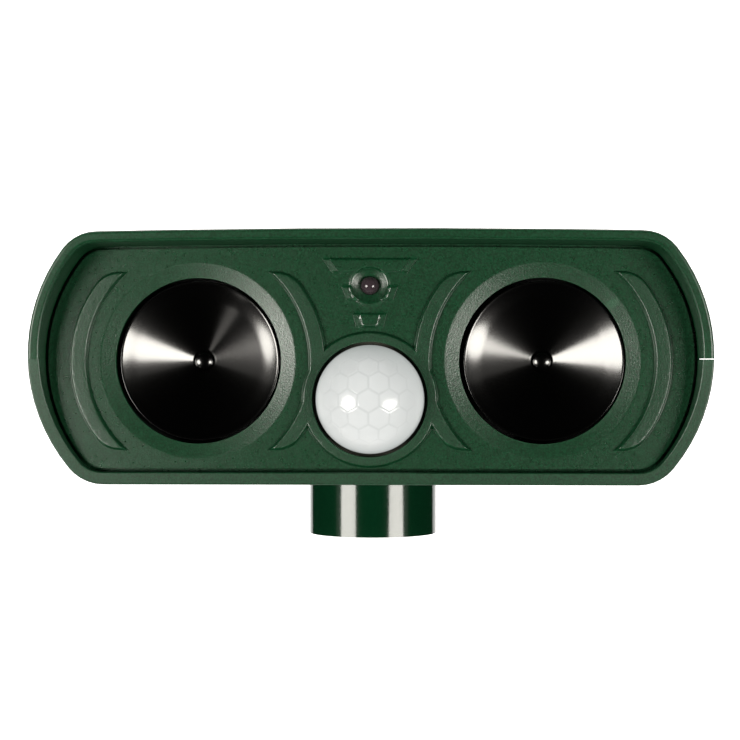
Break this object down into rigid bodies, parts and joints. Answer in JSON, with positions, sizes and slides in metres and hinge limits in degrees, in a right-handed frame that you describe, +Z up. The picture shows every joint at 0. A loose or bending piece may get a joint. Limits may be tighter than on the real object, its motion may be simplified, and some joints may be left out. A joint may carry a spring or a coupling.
{
  "type": "ultrasonic pest repeller",
  "caption": "Pole-mounted ultrasonic pest repeller: barrel-shaped green housing, recessed concave speaker cones, white domed motion sensor, status lamp, rear knobs and battery door.",
  "frame": {"origin": "centre of the pole socket's mouth, on its axis, at the underside of the neck", "axes": "+X to the right seen from the front, the front faces -Y, +Z up along the pole socket's axis"},
  "size_m": [0.1862, 0.0899, 0.0852],
  "materials": {
    "housing_plastic": "dark green moulded plastic, finely textured, with a glossy socket",
    "plate_plastic": "dark green plastic with a spark-eroded texture",
    "cone_metal": "polished near-black metal",
    "black_plastic": "black moulded plastic",
    "knob_plastic": "black fluted plastic",
    "black_rubber": "soft black rubber",
    "brass": "thin brass disc",
    "screw_steel": "zinc-plated steel",
    "wire_sleeve": "soft wire sleeve",
    "milky_plastic": "milky white lens plastic",
    "clear_lamp": "clear epoxy lamp",
    "circuit_board": "solder-masked board",
    "cell_sleeve": "printed sleeve without lettering",
    "capacitor_sleeve": "dark sleeve",
    "ferrite": "ferrite and enamelled wire",
    "pot_case": "blue potentiometer case",
    "plated_steel": "nickel-plated steel"
  },
  "bodies": {
    "housing": {"upper_shell": "housing_plastic", "lower_shell": "housing_plastic", "front_plate": "plate_plastic", "shell_screws": "screw_steel", "left_speaker_frame": "black_plastic", "right_speaker_frame": "black_plastic", "left_speaker_cone": "cone_metal", "right_speaker_cone": "cone_metal", "left_piezo_disc": "brass", "right_piezo_disc": "brass", "left_speaker_gasket": "black_rubber", "right_speaker_gasket": "black_rubber", "speaker_screws": "screw_steel", "pir_lens": "milky_plastic", "pir_sensor": "plated_steel", "status_lamp": "clear_lamp", "main_board": "circuit_board", "controller_chip": "black_plastic", "capacitors": "capacitor_sleeve", "left_drive_transformer": "ferrite", "right_drive_transformer": "ferrite", "board_screws": "screw_steel", "control_board": "circuit_board", "control_board_screws": "screw_steel", "sensitivity_pot": "pot_case", "frequency_pot": "pot_case", "switch_body": "plated_steel", "dc_jack": "black_plastic", "dc_jack_nut": "plated_steel", "dc_cap_strap": "black_rubber", "battery_box": "black_plastic", "battery_box_screws": "screw_steel", "battery_cell_1": "cell_sleeve", "battery_cell_2": "cell_sleeve", "battery_cell_3": "cell_sleeve", "battery_cell_4": "cell_sleeve", "contact_springs": "plated_steel", "contact_plates": "plated_steel", "left_speaker_wires": "wire_sleeve", "right_speaker_wires": "wire_sleeve", "battery_wires": "wire_sleeve", "power_wires": "wire_sleeve", "link_wires": "wire_sleeve"},
    "sensitivity_dial": {"sensitivity_shaft": "plated_steel", "sensitivity_knob": "knob_plastic"},
    "frequency_dial": {"frequency_shaft": "plated_steel", "frequency_knob": "knob_plastic"},
    "mode_slider": {"switch_slider": "black_plastic"},
    "battery_cover": {"battery_door": "housing_plastic", "battery_door_seal": "black_rubber", "battery_door_screws": "screw_steel"},
    "inlet_cap": {"dc_port_cap": "black_rubber"}
  },
  "joints": [
    {"name": "sensitivity_turn", "type": "hinge", "parent": "housing", "child": "sensitivity_dial", "pos_m": [-0.045, 0.045, 0.067], "axis": [0, -1, 0], "range_deg": [-140, 140]},
    {"name": "frequency_turn", "type": "hinge", "parent": "housing", "child": "frequency_dial", "pos_m": [0.045, 0.045, 0.067], "axis": [0, -1, 0], "range_deg": [-140, 140]},
    {"name": "mode_slide", "type": "slide", "parent": "housing", "child": "mode_slider", "axis": [1, 0, 0], "range_m": [0, 0.004]},
    {"name": "battery_cover_off", "type": "slide", "parent": "housing", "child": "battery_cover", "axis": [0, 1, 0], "range_m": [0, 0.04]},
    {"name": "inlet_cap_swing", "type": "hinge", "parent": "housing", "child": "inlet_cap", "pos_m": [0.0095, 0.0445, 0.057], "axis": [0, 0, -1], "range_deg": [0, 110]}
  ]
}
